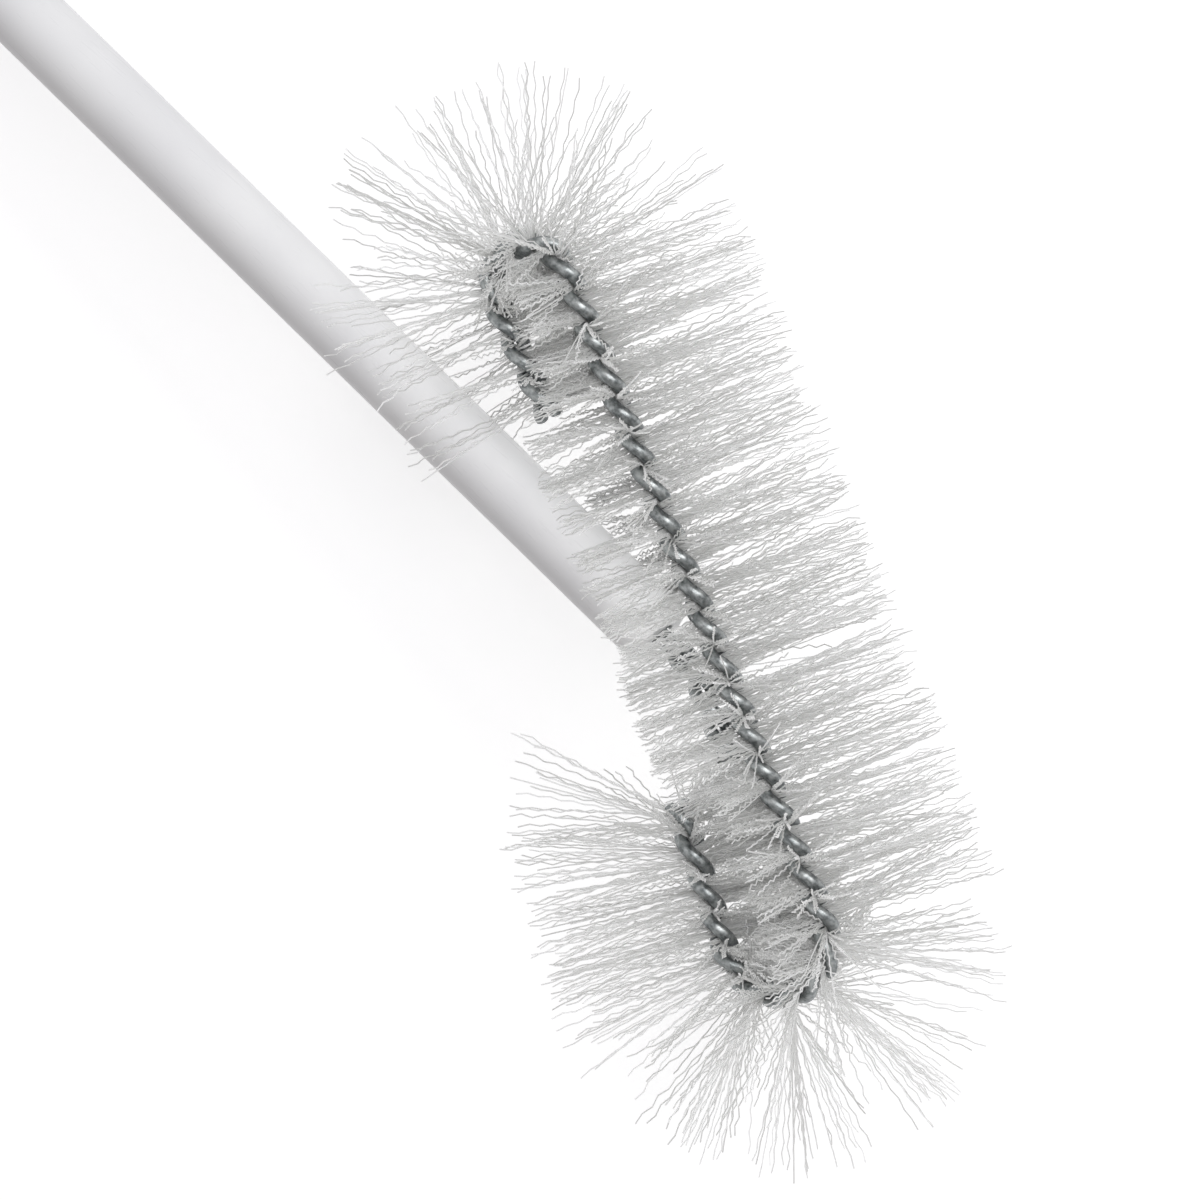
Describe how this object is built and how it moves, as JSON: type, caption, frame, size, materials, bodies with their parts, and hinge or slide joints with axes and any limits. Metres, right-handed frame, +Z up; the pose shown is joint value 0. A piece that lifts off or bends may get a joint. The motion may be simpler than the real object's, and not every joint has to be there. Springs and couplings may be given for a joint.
{
  "type": "bottle brush",
  "caption": "Bottle brush with a white plastic rod handle and a long C-shaped head of twisted wire and nylon bristles.",
  "frame": {"origin": "middle of the overall box, on the floor that the brush lies on", "axes": "+Z up, +X along the handle towards its free end, seen from above"},
  "size_m": [0.3212, 0.0986, 0.0503],
  "materials": {
    "handle": "glossy white plastic",
    "core_wire": "galvanised wire",
    "bristles": "translucent nylon"
  },
  "bodies": {
    "root": {"handle": "handle", "stem_wire_first": "core_wire", "stem_wire_second": "core_wire", "head_wire_first": "core_wire", "head_wire_second": "core_wire", "bristles_near_return": "bristles", "bristles_near_bend": "bristles", "bristles_back_run": "bristles", "bristles_far_bend": "bristles", "bristles_far_return": "bristles"}
  },
  "joints": []
}
